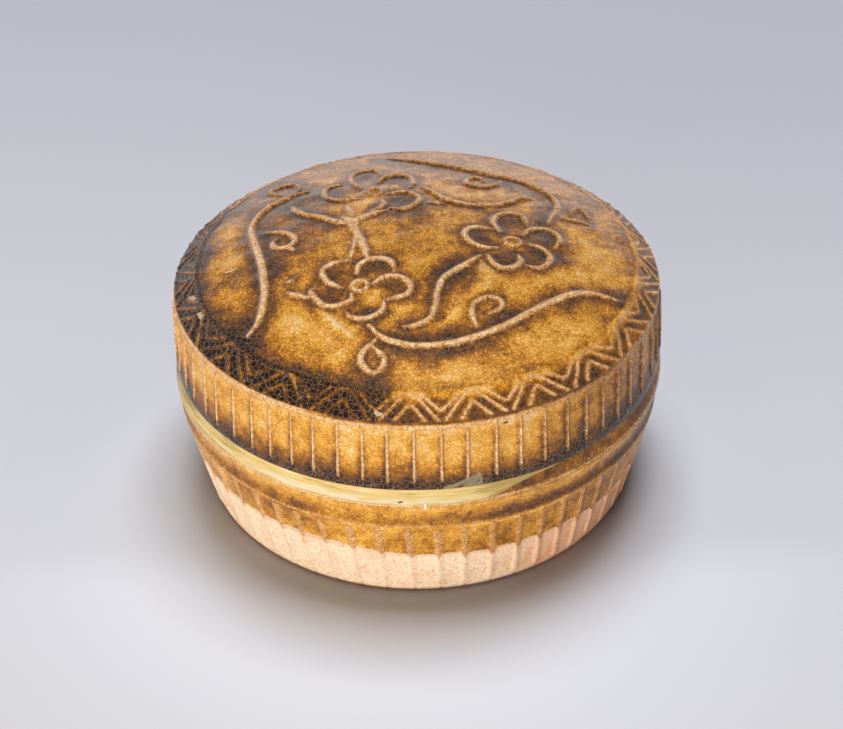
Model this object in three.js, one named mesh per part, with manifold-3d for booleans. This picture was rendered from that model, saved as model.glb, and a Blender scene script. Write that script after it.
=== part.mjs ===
// A round stoneware cosmetic box: a shallow base with a well, and a low domed lid that lifts off it.
// Millimetres, +Z up. The origin is the centre of the foot, on the surface the box stands on.

import * as THREE from 'three';
import { mergeVertices } from 'three/addons/utils/BufferGeometryUtils.js';
import Module from 'manifold-3d';

const wasm = await Module();
wasm.setup();

// Radius of the box, measured on the lid's wall at the seam
const BOX_RADIUS = 55.9;

// Base, from the foot up to the ledge that carries the lid
const BASE_HEIGHT = 33.2;
const BASE_WALL_TAPER = 5;
const BASE_WALL_THICKNESS = 6;
const FOOT_ROUND = 1;
const FOOT_RING_WIDTH = 8;
const FOOT_HOLLOW = 1;
const FLOOR_THICKNESS = 6;
const WELL_FILLET = 8;

// Edge of the base under the seam: a sloping lip, a flat worn edge, a hollow band and a thin bead
const LIP_WIDTH = 1.5;
const LIP_DROP = 3.2;
const EDGE_OVERHANG = 0.5;
const EDGE_HEIGHT = 1.5;
const BAND_HEIGHT = 4.6;
const BAND_DEPTH = 1.2;
const BEAD_RISE = 0.7;
const BEAD_HEIGHT = 1.3;

// Rim that stands inside the lid and keeps it centred
const RIM_HEIGHT = 6;
const RIM_THICKNESS = 3;
const RIM_CLEARANCE = 0.6;
const RIM_CHAMFER = 0.8;

// Lid
const LID_WALL_LEAN = 0.9;
const LID_WALL_HEIGHT = 17.7;
const LID_WALL_THICKNESS = 5;
const LID_FOOT_ROUND = 0.8;
const LID_TOP_ROUND = 0.5;
const SHOULDER_WIDTH = 5.5;
const SHOULDER_RISE = 3.9;
const CROWN_RISE = 8.4;
const CROWN_THICKNESS = 5;

// Upright ribs round the lid and round the base
const LID_RIB_COUNT = 64;
const LID_RIB_WIDTH = 0.9;
const LID_RIB_RISE = 0.4;
const LID_RIB_TOP_MARGIN = 2.2;
const LID_RIB_FOOT_MARGIN = 2.4;
const BASE_RIB_COUNT = 56;
const BASE_RIB_WIDTH = 1.1;
const BASE_RIB_RISE = 0.35;
const BASE_RIB_TOP_MARGIN = 0.5;
const BASE_RIB_FOOT_MARGIN = 2;

// Raised zigzag round the shoulder: one long line, with a small chevron in each of its outer bays
const ZIGZAG_COUNT = 23;
const ZIGZAG_MARGIN = 0.7;
const ZIGZAG_WIDTH = 0.8;
const ZIGZAG_RISE = 0.35;
const CHEVRON_HEIGHT = 2.3;
const CHEVRON_HALF_WIDTH = 2.6;

// Flowering scroll on the crown, cut once and turned to three places
const SCROLL_REPEATS = 3;
const SCROLL_FIELD_RADIUS = 49.5;
const STEM_WIDTH = 1.8;
const STEM_RISE = 0.8;
const LEAF_WIDTH = 2.8;
const LEAF_RISE = 0.5;
const PETAL_COUNT = 5;
const PETAL_RADIUS = 3.9;
const PETAL_REACH = 6.4;
const PETAL_SWEEP = 230;
const PETAL_FIRST_ANGLE = 54;
const PETAL_LINE_WIDTH = 1.5;
const PETAL_LINE_RISE = 0.75;
const FLOWER_EYE_RADIUS = 1.5;
const FLOWER_CENTRE = [-12.65, -18.8];

// The scroll's lines in plan, drawn on a field of SCROLL_FIELD_RADIUS, each from root to tip
const MAIN_STEM = [
  [-10.1, -31.7], [-7.6, -35.3], [-3.2, -37.5], [1.2, -38.2], [7, -37.5], [12.8, -35.3],
  [19.3, -31.3], [25.9, -25.9], [30.2, -22.3], [35.3, -19], [39.7, -17.9], [44.1, -18.6],
];
const SIDE_STEM = [
  [-2.8, -32], [0.4, -31.7], [3, -29.5], [4.1, -24.4], [4.8, -19.3], [7, -15], [10.6, -11.3], [12.8, -10.2],
];
const TENDRIL = [
  [12.5, -32.4], [11.7, -27.3], [12.4, -24.4], [15.7, -23], [17.9, -23.7], [17.5, -25.9], [15.7, -27.7],
];
const BUD_LOOP = [
  [-9, -36], [-11.4, -39], [-12.2, -41.6], [-10.8, -43.8], [-8.4, -43.6], [-7.1, -41.2], [-7.8, -38.6],
];
const LONG_LEAF = [[5.9, -29.9], [10.6, -24.4], [14.6, -18.6], [14.3, -13.6]];
const SMALL_LEAF = [[-28.2, -18.4], [-26, -20.8], [-22.8, -21.9]];

// Fineness of the turned surfaces and of the raised lines
const ROUND_STEPS = 3;
const FILLET_STEPS = 5;
const CROWN_STEPS = 6;
const CEILING_STEPS = 4;
const TOP_ROUND_STEPS = 2;
const EYE_STEPS = 6;
const PETAL_STEPS = 5;
const LINE_STEP = 3.8;
const CREST_SHARE = 0.4;
const TIP_SHARE = 0.35;
const SINK = 0.6;
const RIB_DEPTH = 2;

// Sizes that follow from the ones above
const lidTopRadius = BOX_RADIUS - LID_WALL_LEAN;
const lidTopHeight = BASE_HEIGHT + LID_WALL_HEIGHT;
const fieldRadius = lidTopRadius - SHOULDER_WIDTH;
const fieldEdgeHeight = lidTopHeight + SHOULDER_RISE;
const crownHeight = fieldEdgeHeight + CROWN_RISE;
const lidMouthRadius = BOX_RADIUS - LID_WALL_THICKNESS;
const rimOuterRadius = lidMouthRadius - RIM_CLEARANCE;
const rimInnerRadius = rimOuterRadius - RIM_THICKNESS;
const edgeRadius = BOX_RADIUS + EDGE_OVERHANG;
const ledgeRadius = edgeRadius - LIP_WIDTH;
const baseWallRadius = edgeRadius - BAND_DEPTH;
const footRadius = baseWallRadius - BASE_WALL_TAPER;
const edgeTopHeight = BASE_HEIGHT - LIP_DROP;
const edgeFootHeight = edgeTopHeight - EDGE_HEIGHT;
const beadTopHeight = edgeFootHeight - BAND_HEIGHT;
const wallTopHeight = beadTopHeight - BEAD_HEIGHT;

// Height of the lid's upper surface at a distance from the axis
function lidSurface(radius) {
  if (radius <= fieldRadius) {
    return crownHeight - CROWN_RISE * (radius / fieldRadius) ** 2;
  }
  return fieldEdgeHeight - SHOULDER_RISE * (radius - fieldRadius) / SHOULDER_WIDTH;
}

// Points of a flat arc, in a profile or in plan, with angles in degrees
function arc(centreX, centreY, radius, fromAngle, toAngle, steps) {
  const points = [];
  for (let i = 0; i <= steps; i += 1) {
    const angle = THREE.MathUtils.degToRad(fromAngle + (toAngle - fromAngle) * i / steps);
    points.push([centreX + radius * Math.cos(angle), centreY + radius * Math.sin(angle)]);
  }
  return points;
}

// A closed mesh as a solid for joining and cutting
function toSolid(geometry) {
  const bare = geometry.clone();
  bare.deleteAttribute('normal');
  bare.deleteAttribute('uv');
  const merged = mergeVertices(bare);
  const index = merged.index.array;
  const triVerts = [];
  for (let i = 0; i < index.length; i += 3) {
    const [a, b, c] = [index[i], index[i + 1], index[i + 2]];
    if (a !== b && b !== c && c !== a) {
      triVerts.push(a, b, c);
    }
  }
  const vertProperties = new Float32Array(merged.attributes.position.array);
  return new wasm.Manifold(new wasm.Mesh({
    numProp: 3,
    vertProperties,
    triVerts: new Uint32Array(triVerts),
  }));
}

// A joined solid as a mesh geometry
function toGeometry(solid) {
  const mesh = solid.getMesh();
  const geometry = new THREE.BufferGeometry();
  geometry.setAttribute('position', new THREE.BufferAttribute(new Float32Array(mesh.vertProperties), 3));
  geometry.setIndex(new THREE.BufferAttribute(new Uint32Array(mesh.triVerts), 1));
  geometry.computeVertexNormals();
  return geometry;
}

function joinAll(body, additions) {
  return additions.reduce((joined, addition) => joined.add(addition), body);
}

// A profile of [radius, height] points turned about +Z
function turned(profile, steps) {
  const points = profile.map(([radius, height]) => new THREE.Vector2(radius, height));
  return new THREE.LatheGeometry(points, steps).rotateX(Math.PI / 2);
}

// A raised line over the lid: the foot is sunk below the surface and the crest stands above it.
// The plan is a list of Vector2 points, and taper is how many steps before its end the line thins out.
function raisedLine(plan, { width, rise, closed = false, taper = 0 }) {
  const count = plan.length;
  const positions = [];
  const indices = [];
  for (let i = 0; i < count; i += 1) {
    const before = plan[closed ? (i + count - 1) % count : Math.max(i - 1, 0)];
    const after = plan[closed ? (i + 1) % count : Math.min(i + 1, count - 1)];
    const along = after.clone().sub(before).normalize();
    const across = new THREE.Vector2(-along.y, along.x);
    const fullness = taper > 0 ? Math.min(1, (count - 1 - i) / taper) : 1;
    const size = TIP_SHARE + (1 - TIP_SHARE) * fullness;
    const halfFoot = width * size / 2;
    const halfCrest = halfFoot * CREST_SHARE;
    const crest = lidSurface(plan[i].length()) + rise * size;
    for (const side of [-1, 1]) {
      const foot = plan[i].clone().addScaledVector(across, side * halfFoot);
      positions.push(foot.x, foot.y, lidSurface(foot.length()) - SINK);
    }
    for (const side of [1, -1]) {
      const top = plan[i].clone().addScaledVector(across, side * halfCrest);
      positions.push(top.x, top.y, crest);
    }
  }
  const spans = closed ? count : count - 1;
  for (let i = 0; i < spans; i += 1) {
    const here = 4 * i;
    const next = 4 * ((i + 1) % count);
    for (let k = 0; k < 4; k += 1) {
      const turn = (k + 1) % 4;
      indices.push(here + k, here + turn, next + turn, here + k, next + turn, next + k);
    }
  }
  if (!closed) {
    const last = 4 * (count - 1);
    indices.push(0, 2, 1, 0, 3, 2);
    indices.push(last, last + 1, last + 2, last, last + 2, last + 3);
  }
  const geometry = new THREE.BufferGeometry();
  geometry.setAttribute('position', new THREE.Float32BufferAttribute(positions, 3));
  geometry.setIndex(indices);
  return toSolid(geometry);
}

// Points of the scroll fitted to the lid's field and turned about the axis
function placed(points, turnAngle) {
  const axis = new THREE.Vector2(0, 0);
  const scale = fieldRadius / SCROLL_FIELD_RADIUS;
  return points.map(([x, y]) => new THREE.Vector2(x, y).multiplyScalar(scale).rotateAround(axis, turnAngle));
}

// Evenly spaced points on a smooth curve through hand-placed points
function smoothPlan(points, turnAngle, closed = false) {
  const knots = placed(points, turnAngle).map((point) => new THREE.Vector3(point.x, point.y, 0));
  const curve = new THREE.CatmullRomCurve3(knots, closed);
  const steps = Math.max(4, Math.round(curve.getLength() / LINE_STEP));
  const spaced = curve.getSpacedPoints(steps).map((point) => new THREE.Vector2(point.x, point.y));
  return closed ? spaced.slice(0, -1) : spaced;
}

// One flower: a round eye and petals that are open loops facing it
function flower(turnAngle) {
  const line = { width: PETAL_LINE_WIDTH, rise: PETAL_LINE_RISE };
  const [x, y] = FLOWER_CENTRE;
  const eye = arc(x, y, FLOWER_EYE_RADIUS, 0, 360, EYE_STEPS).slice(0, -1);
  const lines = [raisedLine(placed(eye, turnAngle), { ...line, closed: true })];
  for (let petal = 0; petal < PETAL_COUNT; petal += 1) {
    const outward = PETAL_FIRST_ANGLE + 360 * petal / PETAL_COUNT;
    const [centre] = arc(x, y, PETAL_REACH, outward, outward, 1);
    const from = outward - PETAL_SWEEP / 2;
    const petalLine = arc(...centre, PETAL_RADIUS, from, from + PETAL_SWEEP, PETAL_STEPS);
    lines.push(raisedLine(placed(petalLine, turnAngle), line));
  }
  return lines;
}

// One third of the scroll, turned about the axis
function scrollUnit(turnAngle) {
  const stem = { width: STEM_WIDTH, rise: STEM_RISE };
  return [
    ...flower(turnAngle),
    raisedLine(smoothPlan(MAIN_STEM, turnAngle), { ...stem, taper: 6 }),
    raisedLine(smoothPlan(SIDE_STEM, turnAngle), { ...stem, taper: 3 }),
    raisedLine(smoothPlan(TENDRIL, turnAngle), { ...stem, taper: 2 }),
    raisedLine(smoothPlan(BUD_LOOP, turnAngle, true), { ...stem, closed: true }),
    raisedLine(smoothPlan(LONG_LEAF, turnAngle), { width: LEAF_WIDTH, rise: LEAF_RISE }),
    raisedLine(smoothPlan(SMALL_LEAF, turnAngle), { ...stem, taper: 2 }),
  ];
}

function onShoulder(radius, angle) {
  return new THREE.Vector2(radius * Math.cos(angle), radius * Math.sin(angle));
}

// The zigzag line round the shoulder and the chevrons in its outer bays
function zigzag() {
  const innerRadius = fieldRadius + ZIGZAG_MARGIN;
  const outerRadius = lidTopRadius - ZIGZAG_MARGIN;
  const pitch = 2 * Math.PI / ZIGZAG_COUNT;
  const line = { width: ZIGZAG_WIDTH, rise: ZIGZAG_RISE };
  const corners = [];
  const chevrons = [];
  for (let i = 0; i < ZIGZAG_COUNT; i += 1) {
    const middle = i * pitch;
    corners.push(onShoulder(innerRadius, middle), onShoulder(outerRadius, middle + pitch / 2));
    const lean = CHEVRON_HALF_WIDTH / outerRadius;
    chevrons.push(raisedLine([
      onShoulder(outerRadius, middle - lean),
      onShoulder(outerRadius - CHEVRON_HEIGHT, middle),
      onShoulder(outerRadius, middle + lean),
    ], line));
  }
  return [raisedLine(corners, { ...line, closed: true }), ...chevrons];
}

// Ribs standing on a leaning wall, one on the middle of each of its facets, joined to it over RIB_DEPTH
function ribs(wallRadius, { count, width, rise, lowHeight, highHeight }) {
  const lowRadius = wallRadius(lowHeight);
  const highRadius = wallRadius(highHeight);
  const length = Math.hypot(highRadius - lowRadius, highHeight - lowHeight);
  const lean = Math.atan2(highRadius - lowRadius, highHeight - lowHeight);
  const middleRadius = (lowRadius + highRadius) / 2;
  const middleHeight = (lowHeight + highHeight) / 2;
  const solids = [];
  for (let i = 0; i < count; i += 1) {
    const rib = new THREE.BoxGeometry(RIB_DEPTH + rise, width, length);
    rib.translate((rise - RIB_DEPTH) / 2, 0, 0);
    rib.rotateY(lean);
    rib.translate(middleRadius, 0, middleHeight);
    rib.rotateZ(2 * Math.PI * (i + 0.5) / count);
    solids.push(toSolid(rib));
  }
  return solids;
}

// The base: foot, ribbed wall, bead, hollow band, worn edge, lip, ledge, rim and well
function makeBase() {
  const footHollowRadius = footRadius - FOOT_RING_WIDTH;
  const wellFloorRadius = footRadius - BASE_WALL_THICKNESS;
  const beadRadius = baseWallRadius + BEAD_RISE;
  const bandMiddleHeight = (edgeFootHeight + beadTopHeight) / 2;
  const rimTopHeight = BASE_HEIGHT + RIM_HEIGHT;
  const profile = [
    [0, FOOT_HOLLOW],
    [footHollowRadius - FOOT_HOLLOW, FOOT_HOLLOW],
    [footHollowRadius, 0],
    ...arc(footRadius - FOOT_ROUND, FOOT_ROUND, FOOT_ROUND, -90, 0, ROUND_STEPS),
    [baseWallRadius, wallTopHeight],
    [beadRadius, wallTopHeight + BEAD_HEIGHT / 3],
    [beadRadius, beadTopHeight - BEAD_HEIGHT / 3],
    [baseWallRadius, beadTopHeight],
    [edgeRadius - BAND_DEPTH, bandMiddleHeight],
    [edgeRadius, edgeFootHeight],
    [edgeRadius, edgeTopHeight],
    [edgeRadius - LIP_WIDTH / 2, edgeTopHeight + LIP_DROP / 3],
    [ledgeRadius, BASE_HEIGHT],
    [rimOuterRadius, BASE_HEIGHT],
    [rimOuterRadius, rimTopHeight - RIM_CHAMFER],
    [rimOuterRadius - RIM_CHAMFER, rimTopHeight],
    [rimInnerRadius, rimTopHeight],
    ...arc(wellFloorRadius - WELL_FILLET, FLOOR_THICKNESS + WELL_FILLET, WELL_FILLET, 0, -90, FILLET_STEPS),
    [0, FLOOR_THICKNESS],
  ];
  const body = toSolid(turned(profile, BASE_RIB_COUNT));
  const slope = BASE_WALL_TAPER / (wallTopHeight - FOOT_ROUND);
  const wallRadius = (height) => footRadius + slope * (height - FOOT_ROUND);
  const wallRibs = ribs(wallRadius, {
    count: BASE_RIB_COUNT,
    width: BASE_RIB_WIDTH,
    rise: BASE_RIB_RISE,
    lowHeight: BASE_RIB_FOOT_MARGIN,
    highHeight: wallTopHeight - BASE_RIB_TOP_MARGIN,
  });
  return joinAll(body, wallRibs);
}

// The lid: hollow, with a ribbed wall, a zigzag shoulder and a scroll on the crown
function makeLid() {
  const ceilingRadius = lidMouthRadius - SHOULDER_WIDTH;
  const inside = [];
  for (let i = 0; i <= CEILING_STEPS; i += 1) {
    const radius = ceilingRadius * i / CEILING_STEPS;
    inside.push([radius, lidSurface(radius) - CROWN_THICKNESS]);
  }
  const ceilingEdgeHeight = lidSurface(ceilingRadius) - CROWN_THICKNESS;
  const outside = [];
  for (let i = 0; i <= CROWN_STEPS; i += 1) {
    const radius = fieldRadius * (1 - i / CROWN_STEPS);
    outside.push([radius, lidSurface(radius)]);
  }
  const profile = [
    ...inside,
    [lidMouthRadius, ceilingEdgeHeight - SHOULDER_WIDTH],
    [lidMouthRadius, BASE_HEIGHT],
    ...arc(BOX_RADIUS - LID_FOOT_ROUND, BASE_HEIGHT + LID_FOOT_ROUND, LID_FOOT_ROUND, -90, 0, ROUND_STEPS),
    ...arc(lidTopRadius - LID_TOP_ROUND, lidTopHeight - LID_TOP_ROUND, LID_TOP_ROUND, 0, 60, TOP_ROUND_STEPS),
    ...outside,
  ];
  const body = toSolid(turned(profile, LID_RIB_COUNT));
  const wallRadius = (height) => BOX_RADIUS - LID_WALL_LEAN * (height - BASE_HEIGHT) / LID_WALL_HEIGHT;
  const wallRibs = ribs(wallRadius, {
    count: LID_RIB_COUNT,
    width: LID_RIB_WIDTH,
    rise: LID_RIB_RISE,
    lowHeight: BASE_HEIGHT + LID_RIB_FOOT_MARGIN,
    highHeight: lidTopHeight - LID_RIB_TOP_MARGIN,
  });
  const scroll = [];
  for (let i = 0; i < SCROLL_REPEATS; i += 1) {
    scroll.push(...scrollUnit(2 * Math.PI * i / SCROLL_REPEATS));
  }
  return joinAll(body, [...wallRibs, ...zigzag(), ...scroll]);
}

function namedMesh(name, solid, color, roughness) {
  const material = new THREE.MeshStandardMaterial({ color, roughness, metalness: 0 });
  const mesh = new THREE.Mesh(toGeometry(solid), material);
  mesh.name = name;
  return mesh;
}

const box = new THREE.Group();
box.add(namedMesh('base', makeBase(), 0xc9a06a, 0.45));
box.add(namedMesh('lid', makeLid(), 0xa8742c, 0.3));

export default box;
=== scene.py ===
import math

import bpy
import numpy as np
from mathutils import Matrix, Vector


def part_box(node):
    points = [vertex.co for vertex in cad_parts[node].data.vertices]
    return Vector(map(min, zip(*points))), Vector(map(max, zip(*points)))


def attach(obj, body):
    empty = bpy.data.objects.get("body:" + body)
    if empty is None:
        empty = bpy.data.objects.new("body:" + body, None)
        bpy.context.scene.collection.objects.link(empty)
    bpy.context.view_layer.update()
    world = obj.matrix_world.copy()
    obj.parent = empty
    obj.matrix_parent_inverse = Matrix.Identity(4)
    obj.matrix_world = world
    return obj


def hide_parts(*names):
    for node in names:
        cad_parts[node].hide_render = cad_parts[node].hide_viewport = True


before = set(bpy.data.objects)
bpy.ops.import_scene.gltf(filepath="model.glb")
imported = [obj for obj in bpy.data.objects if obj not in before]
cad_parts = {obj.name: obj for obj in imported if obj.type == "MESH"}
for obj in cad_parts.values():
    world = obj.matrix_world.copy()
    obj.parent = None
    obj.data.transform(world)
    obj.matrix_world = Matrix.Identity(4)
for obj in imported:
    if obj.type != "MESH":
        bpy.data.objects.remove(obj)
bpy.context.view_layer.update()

# The looks of a round stoneware cosmetic box: a ribbed base and a domed lid with a raised flower scroll.
# Sizes are in millimetres and become metres only where a mesh, a light or the camera is made. Angles
# are in degrees from the front of the box, where -Y is, and grow towards +X.

MM = 0.001
base_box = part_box("base")
lid_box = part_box("lid")

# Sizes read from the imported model
EDGE_RADIUS = base_box[1][0] / MM
RIM_TOP = base_box[1][2] / MM
SEAM = lid_box[0][2] / MM

# Lid
FIELD_RADIUS = 49.5
CROWN_HEIGHT = SEAM + 30.0
CROWN_RISE = 8.4
SHOULDER_FALL = 3.9
LID_TOP_RADIUS = EDGE_RADIUS - 1.4
LID_TOP = CROWN_HEIGHT - CROWN_RISE - SHOULDER_FALL
LID_FOOT_RADIUS = EDGE_RADIUS - 0.5
LID_MOUTH_RADIUS = EDGE_RADIUS - 5.5
LID_THICKNESS = 5.0
SHOULDER_SLOPE = SHOULDER_FALL / (LID_TOP_RADIUS - FIELD_RADIUS)

# Base
WALL_TOP = SEAM - 10.6
WALL_TOP_RADIUS = EDGE_RADIUS - 1.2
FOOT_RADIUS = WALL_TOP_RADIUS - 5.0
FOOT_RING = 8.0
FOOT_HOLLOW = 1.0
WELL_FLOOR = 6.0
WELL_FLOOR_RADIUS = FOOT_RADIUS - 6.0
WELL_FILLET = 8.0
RIM_RADIUS = LID_MOUTH_RADIUS - 0.6
RIM_THICKNESS = 3.0

# Where the ribs that the photograph shows stand; the rest are spaced evenly round the back
LID_RIBS = [-62.5, -56.5, -51.8, -45.5, -39.8, -34.6, -29.0, -23.7, -18.0, -12.4, -7.0, -1.2, 4.7, 10.4,
            16.8, 22.5, 28.4, 34.4, 39.8, 45.2, 50.7, 56.1, 62.3, 69.1]
LID_RIB_COUNT = 64
BASE_RIBS = [-55.4, -48.3, -41.3, -35.3, -29.5, -23.5, -16.6, -10.0, -3.0, 3.5, 9.6, 16.3, 23.0, 29.0,
             34.9, 40.7, 46.6, 53.3, 60.0]
BASE_RIB_COUNT = 56
ZIGZAG_PEAKS = [-69.0, -51.0, -33.0, -17.5, -2.0, 12.5, 28.0, 44.0, 60.0, 77.0, 92.5]
ZIGZAG_COUNT = 22

# Height of the glaze's lower edge on the base, by angle
GLAZE_EDGE = [(-180, 13.5), (-120, 14.4), (-60, 14.9), (-20, 14.9), (-5, 13.4), (5, 13.1), (20, 12.4),
              (35, 12.0), (50, 11.3), (60, 11.2), (120, 12.6), (180, 13.5)]


def ease(value, low, high):
    """0 below low, 1 above high and smooth between them."""
    share = np.clip((value - low) / (high - low), 0, 1)
    return share * share * (3 - 2 * share)


def span(angle, start, end, soft):
    """1 between two angles, fading to 0 over soft degrees outside them."""
    turned = (angle - (start + end) / 2 + 180) % 360 - 180
    return 1 - ease(np.abs(turned), (end - start) / 2, (end - start) / 2 + soft)


def all_round(seen, count, seed, jitter):
    """Given angles and, evenly over the gap that they leave, as many more as make up count."""
    extra = count - len(seen)
    gap = (360 - seen[-1] + seen[0]) / (extra + 1)
    wander = np.random.default_rng(seed).uniform(-jitter, jitter, extra)
    return np.array(seen + [seen[-1] + gap * (i + 1) + wander[i] for i in range(extra)])


def unevenness(angle, height, seed, size, waves=7):
    """A slow hand-made wobble between about -1 and 1, the same all the way round."""
    random = np.random.default_rng(seed)
    total = 0
    for _ in range(waves):
        turns = random.integers(2, size)
        total = total + np.sin(np.radians(angle) * turns + height * random.uniform(-0.2, 0.2)
                               + random.uniform(0, 2 * math.pi))
    return total / math.sqrt(waves)


def ripple(x, y, seed, short, long, waves=16):
    """Soft bumps between about -1 and 1, with lengths between short and long, over a plan."""
    random = np.random.default_rng(seed)
    total = 0
    for _ in range(waves):
        heading = random.uniform(0, math.pi)
        turns = 2 * math.pi / random.uniform(short, long)
        total = total + np.sin((x * math.cos(heading) + y * math.sin(heading)) * turns
                               + random.uniform(0, 2 * math.pi))
    return total / math.sqrt(waves)


class Line:
    """A raised line of the scroll: plan points from root to tip, with its width and rise.

    dark_left and dark_right are how far glaze pools beside it, and thin says how much of its
    width is left at its root and at its tip. A soft line is a low swell without a bare crest.
    """

    def __init__(self, points, width, rise=0.7, dark_left=2.0, dark_right=2.0, thin=(0.6, 0.5), taper=3.0,
                 soft=False):
        self.path = smooth_path(points)
        self.width = width
        self.rise = rise
        self.dark = (dark_left, dark_right)
        self.thin = thin
        self.taper = taper
        self.soft = soft


def smooth_path(points, step=0.5):
    """Evenly spaced points on a smooth curve through given points."""
    knots = np.array([2 * np.array(points[0]) - points[1], *points, 2 * np.array(points[-1]) - points[-2]])
    path = []
    for before, start, end, after in zip(knots, knots[1:], knots[2:], knots[3:]):
        count = max(2, math.ceil(math.dist(start, end) / step))
        for share in np.arange(count) / count:
            path.append(0.5 * (2 * start + (end - before) * share
                               + (2 * before - 5 * start + 4 * end - after) * share ** 2
                               + (3 * start - before - 3 * end + after) * share ** 3))
    return np.array([*path, knots[-2]])


def beside(path, x, y, reach):
    """For the points within reach of a path: which they are, and their distance, side and place on it."""
    low, high = path.min(0) - reach, path.max(0) + reach
    near = np.flatnonzero((x > low[0]) & (x < high[0]) & (y > low[1]) & (y < high[1]))
    start, along = path[:-1], np.diff(path, axis=0)
    length = np.hypot(*along.T)
    from_x = x[near, None] - start[:, 0]
    from_y = y[near, None] - start[:, 1]
    share = np.clip((from_x * along[:, 0] + from_y * along[:, 1]) / length ** 2, 0, 1)
    off_x = from_x - share * along[:, 0]
    off_y = from_y - share * along[:, 1]
    away = np.hypot(off_x, off_y)
    best = away.argmin(1)
    row = np.arange(len(near))
    left = along[best, 0] * off_y[row, best] > along[best, 1] * off_x[row, best]
    travelled = (np.cumsum(length) - length)[best] + share[row, best] * length[best]
    return near, away[row, best], left, travelled, length.sum()


# The flower scroll, in plan: three flowers, three long stems, and the lines that branch off them
FLOWERS = [
    ((-12.3, -19.7), [
        [(-15.2, -10.6), (-18.6, -11.2), (-20.5, -13.5), (-19.8, -16.7), (-18.1, -18.5), (-16.1, -19.9)],
        [(-13.0, -15.4), (-12.5, -12.7), (-10.5, -11.1), (-7.9, -10.9), (-5.5, -12.3), (-4.8, -15.4)],
        [(-9.7, -19.4), (-6.8, -17.3), (-3.6, -17.6), (-1.4, -20.5), (-2.3, -23.3), (-6.8, -24.9)],
        [(-7.0, -24.6), (-7.3, -27.5), (-9.4, -29.4), (-12.3, -29.9), (-14.6, -28.7), (-15.0, -27.5)],
        [(-14.1, -22.1), (-14.2, -24.1), (-17.0, -25.2), (-20.3, -24.6), (-23.0, -20.1), (-22.1, -18.9)],
    ]),
    ((21.5, -3.6), [
        [(18.8, 0.3), (17.5, 3.7), (18.6, 7.3), (21.7, 8.9), (24.3, 7.9), (25.0, 3.7)],
        [(24.1, -0.4), (26.1, 2.5), (29.3, 3.7), (31.7, 1.8), (32.2, -1.1), (31.0, -3.5)],
        [(25.2, -3.9), (27.6, -4.6), (29.6, -7.1), (29.1, -10.1), (27.2, -12.2), (24.3, -11.9)],
        [(15.9, -9.4), (16.6, -12.1), (19.0, -13.7), (21.7, -12.8), (23.0, -10.6), (22.4, -8.3)],
        [(17.9, -6.4), (15.0, -6.7), (12.1, -4.9), (10.9, -2.0), (11.9, 0.5), (14.6, 1.3), (17.2, 0.9)],
    ]),
    ((-9.4, 18.8), [
        [(-12.9, 21.7), (-14.5, 25.0), (-15.3, 28.5), (-14.1, 31.7), (-11.2, 33.0), (-8.9, 32.0), (-8.0, 29.0)],
        [(-8.4, 24.5), (-7.4, 27.0), (-4.7, 28.3), (-1.9, 27.8), (-0.4, 24.6), (-1.0, 20.5)],
        [(-6.8, 17.4), (-3.2, 18.0), (0.0, 16.4), (1.0, 13.8), (-0.3, 11.0), (-3.1, 9.4), (-5.8, 10.0)],
        [(-17.4, 25.4), (-20.2, 24.2), (-21.3, 21.8), (-20.4, 18.2), (-17.4, 16.0), (-13.2, 15.9)],
        [(-7.7, 14.3), (-7.2, 12.1), (-8.4, 10.0), (-10.5, 8.9)],
    ]),
]
EYE_RADIUS = 1.7
PETAL_WIDTH = 1.55
PETAL_RISE = 0.62

STEMS = [
    # Front stem, which starts under the front flower and runs out to the right
    Line([(-10.3, -31.8), (-7.8, -35.3), (-3.4, -37.5), (1.0, -38.2), (6.8, -37.5), (12.6, -35.3),
          (19.1, -31.4), (25.7, -26.0), (29.9, -22.4), (35.0, -19.1), (39.4, -18.1), (43.8, -18.8)],
         1.8, rise=0.75, dark_left=4.0, dark_right=2.6, taper=9),
    # Left stem
    Line([(-25.4, 24.0), (-28.7, 22.9), (-31.8, 20.9), (-35.2, 17.4), (-37.0, 13.1), (-37.6, 8.8),
          (-36.8, 3.8), (-35.7, -1.2), (-34.4, -7.0), (-33.6, -12.8), (-33.2, -17.9), (-33.4, -22.5),
          (-34.3, -26.5), (-36.3, -29.8)],
         1.8, rise=0.75, dark_left=3.8, dark_right=3.0, taper=7),
    # Back stem
    Line([(30.1, 6.3), (31.2, 9.6), (32.5, 13.1), (32.9, 16.6), (32.0, 20.3), (29.8, 23.8), (26.5, 26.6),
          (22.1, 28.8), (17.1, 30.5), (12.1, 33.1), (7.0, 35.5), (2.6, 37.8), (-1.0, 39.7), (-6.1, 42.5)],
         1.8, rise=0.75, dark_left=5.0, dark_right=1.4, taper=8),
]
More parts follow.
